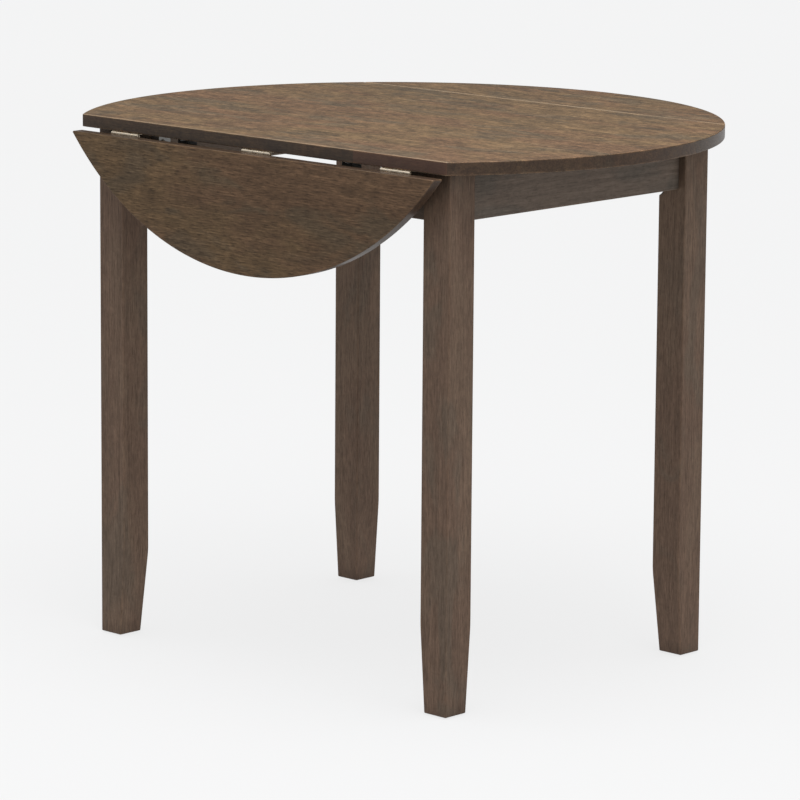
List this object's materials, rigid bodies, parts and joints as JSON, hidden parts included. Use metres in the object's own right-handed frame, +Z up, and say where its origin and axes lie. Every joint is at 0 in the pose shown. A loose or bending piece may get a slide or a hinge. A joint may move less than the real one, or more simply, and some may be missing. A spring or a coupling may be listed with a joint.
{
  "type": "drop leaf table",
  "caption": "Round dining table with a fixed centre panel, hinged drop leaves on pull-out steel slides, square tapered legs and an inset apron frame; one leaf hangs and the other is up.",
  "frame": {"origin": "on the floor, at the middle of the whole outline with one leaf hanging and the other up; the middle of the round top is 73.9 mm towards -Y from it", "axes": "+X along the hinge lines, +Z up, the hanging leaf is at -Y and the raised leaf is at +Y"},
  "size_m": [0.9144, 0.7668, 0.762],
  "materials": {
    "top_wood": "satin walnut stain",
    "leaf_wood": "satin walnut stain",
    "leg_wood": "satin walnut stain",
    "apron_wood": "satin walnut stain",
    "cleat_wood": "plain sawn",
    "hinge_nickel": "satin nickel",
    "zinc_fixings": "bright zinc",
    "guide_metal": "satin dark grey",
    "slide_steel": "drawn steel",
    "black_nylon": "matte"
  },
  "bodies": {
    "frame": {"top_panel": "top_wood", "leg_front_left": "leg_wood", "leg_front_right": "leg_wood", "leg_rear_left": "leg_wood", "leg_rear_right": "leg_wood", "front_apron": "apron_wood", "rear_apron": "apron_wood", "left_apron": "apron_wood", "right_apron": "apron_wood", "left_cleat": "cleat_wood", "right_cleat": "cleat_wood", "cleat_top_screws": "zinc_fixings", "cleat_side_screws": "zinc_fixings", "corner_plate_front_left": "zinc_fixings", "corner_plate_front_right": "zinc_fixings", "corner_plate_rear_left": "zinc_fixings", "corner_plate_rear_right": "zinc_fixings", "corner_plate_screws": "zinc_fixings", "hanger_bolts": "zinc_fixings", "hanger_washers": "zinc_fixings", "hanger_wing_nuts": "zinc_fixings", "foot_glides": "black_nylon", "hinge_plate_front_left": "hinge_nickel", "hinge_plate_front_middle": "hinge_nickel", "hinge_plate_front_right": "hinge_nickel", "hinge_plate_rear_left": "hinge_nickel", "hinge_plate_rear_middle": "hinge_nickel", "hinge_plate_rear_right": "hinge_nickel", "front_hinge_pins": "hinge_nickel", "rear_hinge_pins": "hinge_nickel", "hinge_screws": "hinge_nickel", "outer_guide_front_left": "guide_metal", "outer_guide_front_right": "guide_metal", "outer_guide_rear_left": "guide_metal", "outer_guide_rear_right": "guide_metal", "inner_guide_front_left": "guide_metal", "inner_guide_front_right": "guide_metal", "inner_guide_rear_left": "guide_metal", "inner_guide_rear_right": "guide_metal", "guide_screws": "zinc_fixings"},
    "front_leaf": {"front_leaf_panel": "leaf_wood", "leaf_hinge_plate_front_left": "hinge_nickel", "leaf_hinge_plate_front_middle": "hinge_nickel", "leaf_hinge_plate_front_right": "hinge_nickel", "front_leaf_hinge_screws": "hinge_nickel"},
    "rear_leaf": {"rear_leaf_panel": "leaf_wood", "leaf_hinge_plate_rear_left": "hinge_nickel", "leaf_hinge_plate_rear_middle": "hinge_nickel", "leaf_hinge_plate_rear_right": "hinge_nickel", "rear_leaf_hinge_screws": "hinge_nickel"},
    "front_left_slide": {"slide_bar_front_left": "slide_steel", "slide_peg_front_left": "black_nylon"},
    "front_right_slide": {"slide_bar_front_right": "slide_steel", "slide_peg_front_right": "black_nylon"},
    "rear_left_slide": {"slide_bar_rear_left": "slide_steel", "slide_peg_rear_left": "black_nylon"},
    "rear_right_slide": {"slide_bar_rear_right": "slide_steel", "slide_peg_rear_right": "black_nylon"}
  },
  "joints": [
    {"name": "front_leaf_hinge", "type": "hinge", "parent": "frame", "child": "front_leaf", "pos_m": [0, -0.36185, 0.7405], "axis": [-1, 0, 0], "range_deg": [0, 90]},
    {"name": "rear_leaf_hinge", "type": "hinge", "parent": "frame", "child": "rear_leaf", "pos_m": [0, 0.21415, 0.7405], "axis": [1, 0, 0], "range_deg": [-90, 0]},
    {"name": "slide_front_left", "type": "slide", "parent": "frame", "child": "front_left_slide", "axis": [0, -1, 0], "range_m": [0, 0.12]},
    {"name": "slide_front_right", "type": "slide", "parent": "frame", "child": "front_right_slide", "axis": [0, -1, 0], "range_m": [0, 0.12]},
    {"name": "slide_rear_left", "type": "slide", "parent": "frame", "child": "rear_left_slide", "axis": [0, 1, 0], "range_m": [0, 0.12]},
    {"name": "slide_rear_right", "type": "slide", "parent": "frame", "child": "rear_right_slide", "axis": [0, 1, 0], "range_m": [0, 0.12]}
  ]
}
